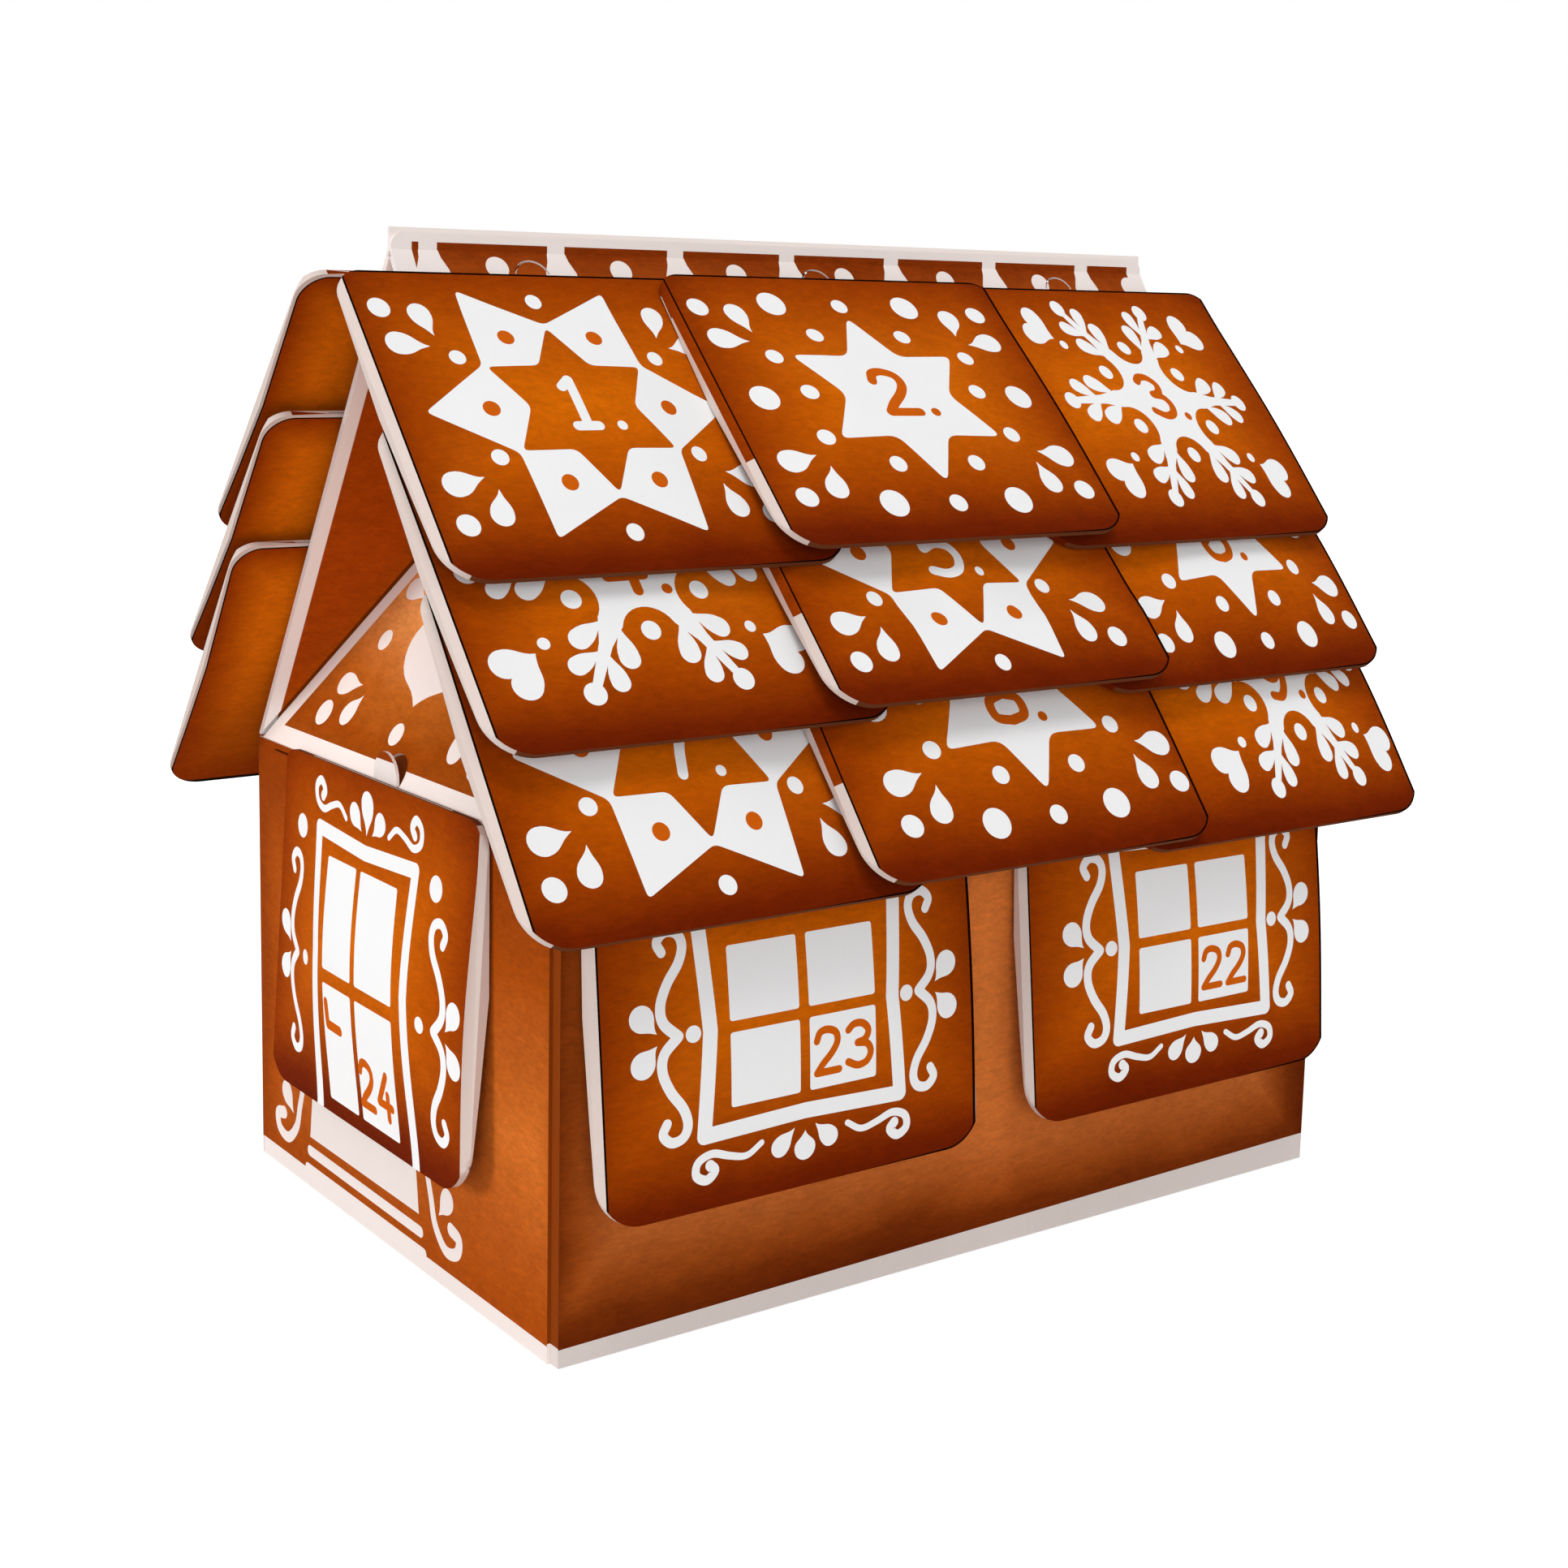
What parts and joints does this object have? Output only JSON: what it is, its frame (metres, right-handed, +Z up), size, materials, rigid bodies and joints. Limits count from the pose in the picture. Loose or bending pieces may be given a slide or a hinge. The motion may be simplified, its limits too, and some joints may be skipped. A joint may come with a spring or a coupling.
{
  "type": "tea advent calendar",
  "caption": "Gable-roofed paperboard gingerbread house hung all round with numbered tea envelopes, each drawn down off a hook.",
  "frame": {"origin": "centre of the base, on the surface that the house stands on", "axes": "+X along the ridge away from the door end, +Y towards the back slope, +Z up"},
  "size_m": [0.209, 0.158, 0.1868],
  "materials": {
    "carton_board": "satin",
    "envelope_paper": "satin",
    "tea_filter_paper": "matte"
  },
  "bodies": {
    "carton": {"base_panel": "carton_board", "dust_flap_door_end": "carton_board", "dust_flap_plain_end": "carton_board", "front_wall": "carton_board", "back_wall": "carton_board", "door_end_wall": "carton_board", "plain_end_wall": "carton_board", "door_end_gable": "carton_board", "plain_end_gable": "carton_board", "front_roof_panel": "carton_board", "back_roof_panel": "carton_board"},
    "day_01": {"envelope_01": "envelope_paper", "tea_bag_01": "tea_filter_paper"},
    "day_02": {"envelope_02": "envelope_paper", "tea_bag_02": "tea_filter_paper"},
    "day_03": {"envelope_03": "envelope_paper", "tea_bag_03": "tea_filter_paper"},
    "day_04": {"envelope_04": "envelope_paper", "tea_bag_04": "tea_filter_paper"},
    "day_05": {"envelope_05": "envelope_paper", "tea_bag_05": "tea_filter_paper"},
    "day_06": {"envelope_06": "envelope_paper", "tea_bag_06": "tea_filter_paper"},
    "day_07": {"envelope_07": "envelope_paper", "tea_bag_07": "tea_filter_paper"},
    "day_08": {"envelope_08": "envelope_paper", "tea_bag_08": "tea_filter_paper"},
    "day_09": {"envelope_09": "envelope_paper", "tea_bag_09": "tea_filter_paper"},
    "day_10": {"envelope_10": "envelope_paper", "tea_bag_10": "tea_filter_paper"},
    "day_11": {"envelope_11": "envelope_paper", "tea_bag_11": "tea_filter_paper"},
    "day_12": {"envelope_12": "envelope_paper", "tea_bag_12": "tea_filter_paper"},
    "day_13": {"envelope_13": "envelope_paper", "tea_bag_13": "tea_filter_paper"},
    "day_14": {"envelope_14": "envelope_paper", "tea_bag_14": "tea_filter_paper"},
    "day_15": {"envelope_15": "envelope_paper", "tea_bag_15": "tea_filter_paper"},
    "day_16": {"envelope_16": "envelope_paper", "tea_bag_16": "tea_filter_paper"},
    "day_17": {"envelope_17": "envelope_paper", "tea_bag_17": "tea_filter_paper"},
    "day_18": {"envelope_18": "envelope_paper", "tea_bag_18": "tea_filter_paper"},
    "day_19": {"envelope_19": "envelope_paper", "tea_bag_19": "tea_filter_paper"},
    "day_20": {"envelope_20": "envelope_paper", "tea_bag_20": "tea_filter_paper"},
    "day_21": {"envelope_21": "envelope_paper", "tea_bag_21": "tea_filter_paper"},
    "day_22": {"envelope_22": "envelope_paper", "tea_bag_22": "tea_filter_paper"},
    "day_23": {"envelope_23": "envelope_paper", "tea_bag_23": "tea_filter_paper"},
    "day_24": {"envelope_24": "envelope_paper", "tea_bag_24": "tea_filter_paper"}
  },
  "joints": [
    {"name": "draw_01", "type": "slide", "parent": "carton", "child": "day_01", "axis": [0, -0.6625, -0.749], "range_m": [0, 0.008]},
    {"name": "draw_02", "type": "slide", "parent": "carton", "child": "day_02", "axis": [0, -0.702, -0.7122], "range_m": [0, 0.008]},
    {"name": "draw_03", "type": "slide", "parent": "carton", "child": "day_03", "axis": [0, -0.6625, -0.749], "range_m": [0, 0.008]},
    {"name": "draw_04", "type": "slide", "parent": "carton", "child": "day_04", "axis": [0, -0.6532, -0.7572], "range_m": [0, 0.008]},
    {"name": "draw_05", "type": "slide", "parent": "carton", "child": "day_05", "axis": [0, -0.6931, -0.7209], "range_m": [0, 0.008]},
    {"name": "draw_06", "type": "slide", "parent": "carton", "child": "day_06", "axis": [0, -0.6532, -0.7572], "range_m": [0, 0.008]},
    {"name": "draw_07", "type": "slide", "parent": "carton", "child": "day_07", "axis": [0, -0.5935, -0.8049], "range_m": [0, 0.008]},
    {"name": "draw_08", "type": "slide", "parent": "carton", "child": "day_08", "axis": [0, -0.6356, -0.772], "range_m": [0, 0.008]},
    {"name": "draw_09", "type": "slide", "parent": "carton", "child": "day_09", "axis": [0, -0.5935, -0.8049], "range_m": [0, 0.008]},
    {"name": "draw_10", "type": "slide", "parent": "carton", "child": "day_10", "axis": [0, 0.6625, -0.749], "range_m": [0, 0.008]},
    {"name": "draw_11", "type": "slide", "parent": "carton", "child": "day_11", "axis": [0, 0.702, -0.7122], "range_m": [0, 0.008]},
    {"name": "draw_12", "type": "slide", "parent": "carton", "child": "day_12", "axis": [0, 0.6625, -0.749], "range_m": [0, 0.008]},
    {"name": "draw_13", "type": "slide", "parent": "carton", "child": "day_13", "axis": [0, 0.6532, -0.7572], "range_m": [0, 0.008]},
    {"name": "draw_14", "type": "slide", "parent": "carton", "child": "day_14", "axis": [0, 0.6931, -0.7209], "range_m": [0, 0.008]},
    {"name": "draw_15", "type": "slide", "parent": "carton", "child": "day_15", "axis": [0, 0.6532, -0.7572], "range_m": [0, 0.008]},
    {"name": "draw_16", "type": "slide", "parent": "carton", "child": "day_16", "axis": [0, 0.5935, -0.8049], "range_m": [0, 0.008]},
    {"name": "draw_17", "type": "slide", "parent": "carton", "child": "day_17", "axis": [0, 0.6356, -0.772], "range_m": [0, 0.008]},
    {"name": "draw_18", "type": "slide", "parent": "carton", "child": "day_18", "axis": [0, 0.5935, -0.8049], "range_m": [0, 0.008]},
    {"name": "draw_19", "type": "slide", "parent": "carton", "child": "day_19", "axis": [0, 0.1046, -0.9945], "range_m": [0, 0.008]},
    {"name": "draw_20", "type": "slide", "parent": "carton", "child": "day_20", "axis": [0, 0.1046, -0.9945], "range_m": [0, 0.008]},
    {"name": "draw_21", "type": "slide", "parent": "carton", "child": "day_21", "axis": [0.0611, 0, -0.9981], "range_m": [0, 0.008]},
    {"name": "draw_22", "type": "slide", "parent": "carton", "child": "day_22", "axis": [0, -0.1046, -0.9945], "range_m": [0, 0.008]},
    {"name": "draw_23", "type": "slide", "parent": "carton", "child": "day_23", "axis": [0, -0.1046, -0.9945], "range_m": [0, 0.008]},
    {"name": "draw_24", "type": "slide", "parent": "carton", "child": "day_24", "axis": [-0.0611, 0, -0.9981], "range_m": [0, 0.008]}
  ]
}
